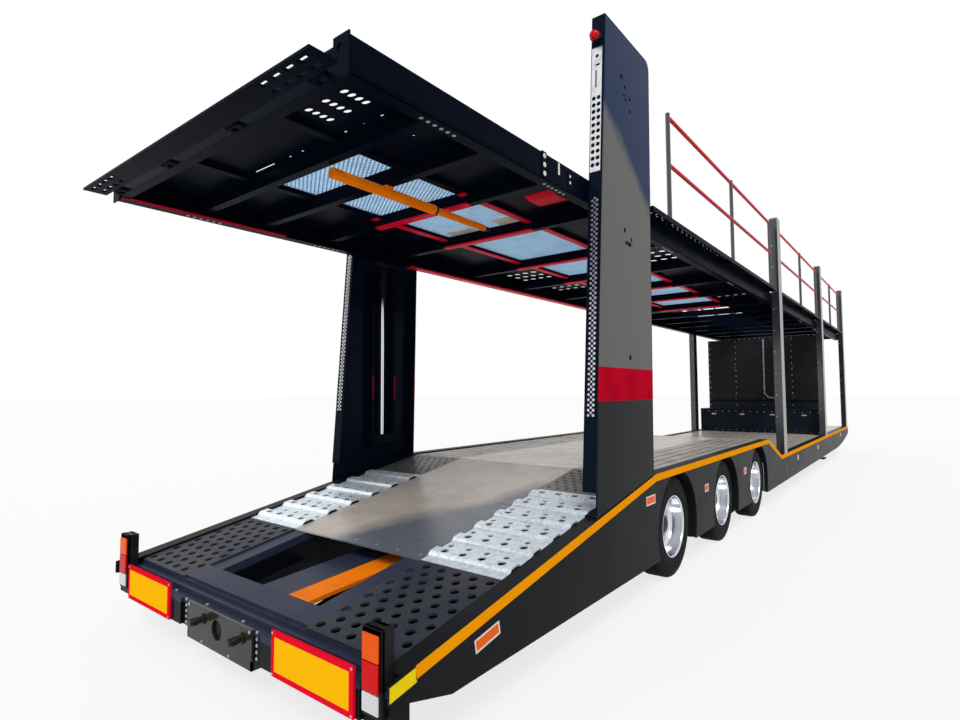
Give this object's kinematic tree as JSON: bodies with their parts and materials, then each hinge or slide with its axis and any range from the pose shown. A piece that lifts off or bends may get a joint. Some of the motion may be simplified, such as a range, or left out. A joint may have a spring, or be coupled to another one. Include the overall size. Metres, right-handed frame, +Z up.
{
  "type": "car transporter semi-trailer",
  "caption": "Two-deck car transporter semi-trailer on twin-wheeled axles, with lifting upper decks, lift towers, railings, sloping tail and locker, parked on its legs.",
  "frame": {"origin": "on the ground, below the middle of the bounding box", "axes": "+X to the trailer's right, +Y forward towards the coupling, +Z up"},
  "size_m": [2.55, 15.385, 3.97],
  "materials": {
    "skirt_paint": "gloss black with an orange-yellow stripe along the top edge",
    "frame_paint": "satin black",
    "deck_paint": "satin blue-black",
    "galvanised": "galvanised",
    "marker_board": "retroreflective, red frame and yellow centre",
    "lamp": "clear lens, amber, red and white chambers",
    "orange_paint": "gloss orange",
    "tyre": "moulded rubber",
    "rim": "polished",
    "rail_paint": "gloss red rails on dark posts",
    "mesh_steel": "satin black expanded mesh",
    "post_paint": "gloss grey-black",
    "upper_paint": "gloss blue-black",
    "body_paint": "gloss black"
  },
  "bodies": {
    "chassis": {"main_frame": "frame_paint", "tail_beam": "body_paint", "tail_centre_plate": "body_paint", "marker_board_right": "marker_board", "marker_board_left": "marker_board", "tail_lamp_right": "lamp", "tail_lamp_left": "lamp", "tail_tie_bar": "orange_paint", "side_rave_right": "skirt_paint", "side_rave_left": "skirt_paint", "tail_plate_right": "deck_paint", "tail_plate_left": "deck_paint", "grip_track_right": "galvanised", "grip_track_left": "galvanised", "centre_sheet": "deck_paint", "wheel_track_right": "galvanised", "wheel_track_left": "galvanised", "well_deck": "deck_paint", "axle_1": "frame_paint", "axle_2": "frame_paint", "axle_3": "frame_paint", "landing_legs": "frame_paint", "locker_box": "body_paint", "bulkhead": "body_paint", "rear_tower_right": "post_paint", "rear_tower_left": "post_paint", "mid_post_right": "post_paint", "mid_post_left": "post_paint", "front_post_right": "post_paint", "front_post_left": "post_paint", "nose_post_right": "post_paint", "nose_post_left": "post_paint"},
    "wheels_1_right": {"tyres_1_right": "tyre", "rims_1_right": "rim"},
    "wheels_1_left": {"tyres_1_left": "tyre", "rims_1_left": "rim"},
    "wheels_2_right": {"tyres_2_right": "tyre", "rims_2_right": "rim"},
    "wheels_2_left": {"tyres_2_left": "tyre", "rims_2_left": "rim"},
    "wheels_3_right": {"tyres_3_right": "tyre", "rims_3_right": "rim"},
    "wheels_3_left": {"tyres_3_left": "tyre", "rims_3_left": "rim"},
    "rear_deck": {"rear_deck_frame": "upper_paint", "rear_deck_mesh": "mesh_steel", "deck_cylinder": "orange_paint", "rear_railing_right": "rail_paint", "rear_railing_left": "rail_paint"},
    "rear_flap": {"rear_flap": "upper_paint"},
    "front_deck": {"front_deck_frame": "upper_paint", "mid_railing_right": "rail_paint", "mid_railing_left": "rail_paint", "front_railing_right": "rail_paint", "front_railing_left": "rail_paint"},
    "lift_right": {"lift_carriage_right": "body_paint"},
    "lift_left": {"lift_carriage_left": "body_paint"},
    "lid_right": {"locker_lid_right": "body_paint"},
    "lid_left": {"locker_lid_left": "body_paint"}
  },
  "joints": [
    {"name": "wheels_1_right_spin", "type": "hinge", "parent": "chassis", "child": "wheels_1_right", "pos_m": [1, -4.3375, 0.3925], "axis": [1, 0, 0], "continuous": true},
    {"name": "wheels_1_left_spin", "type": "hinge", "parent": "chassis", "child": "wheels_1_left", "pos_m": [-1, -4.3375, 0.3925], "axis": [1, 0, 0], "continuous": true},
    {"name": "wheels_2_right_spin", "type": "hinge", "parent": "chassis", "child": "wheels_2_right", "pos_m": [1, -2.9775, 0.3925], "axis": [1, 0, 0], "continuous": true},
    {"name": "wheels_2_left_spin", "type": "hinge", "parent": "chassis", "child": "wheels_2_left", "pos_m": [-1, -2.9775, 0.3925], "axis": [1, 0, 0], "continuous": true},
    {"name": "wheels_3_right_spin", "type": "hinge", "parent": "chassis", "child": "wheels_3_right", "pos_m": [1, -1.6175, 0.3925], "axis": [1, 0, 0], "continuous": true},
    {"name": "wheels_3_left_spin", "type": "hinge", "parent": "chassis", "child": "wheels_3_left", "pos_m": [-1, -1.6175, 0.3925], "axis": [1, 0, 0], "continuous": true},
    {"name": "rear_deck_tilt", "type": "hinge", "parent": "chassis", "child": "rear_deck", "pos_m": [0, -0.0075, 2.765], "axis": [1, 0, 0], "range_deg": [0, 8.8]},
    {"name": "rear_flap_hinge", "type": "hinge", "parent": "rear_deck", "child": "rear_flap", "pos_m": [0, -7.5475, 2.712], "axis": [1, 0, 0], "range_deg": [-35, 90]},
    {"name": "front_deck_tilt", "type": "hinge", "parent": "chassis", "child": "front_deck", "pos_m": [0, 7.4925, 2.765], "axis": [-1, 0, 0], "range_deg": [0, 4]},
    {"name": "lift_right_slide", "type": "slide", "parent": "chassis", "child": "lift_right", "axis": [0, 0, -1], "range_m": [0, 0.8]},
    {"name": "lift_left_slide", "type": "slide", "parent": "chassis", "child": "lift_left", "axis": [0, 0, -1], "range_m": [0, 0.8]},
    {"name": "locker_lid_right_hinge", "type": "hinge", "parent": "chassis", "child": "lid_right", "pos_m": [0.58, 4.8625, 1.0623], "axis": [-1, 0, 0], "range_deg": [0, 75]},
    {"name": "locker_lid_left_hinge", "type": "hinge", "parent": "chassis", "child": "lid_left", "pos_m": [-0.58, 4.8625, 1.0623], "axis": [-1, 0, 0], "range_deg": [0, 75]}
  ],
  "couplings": [
    {"joint": "lift_right_slide", "follows": "rear_deck_tilt", "m_per_rad": 5.2},
    {"joint": "lift_left_slide", "follows": "rear_deck_tilt", "m_per_rad": 5.2}
  ]
}
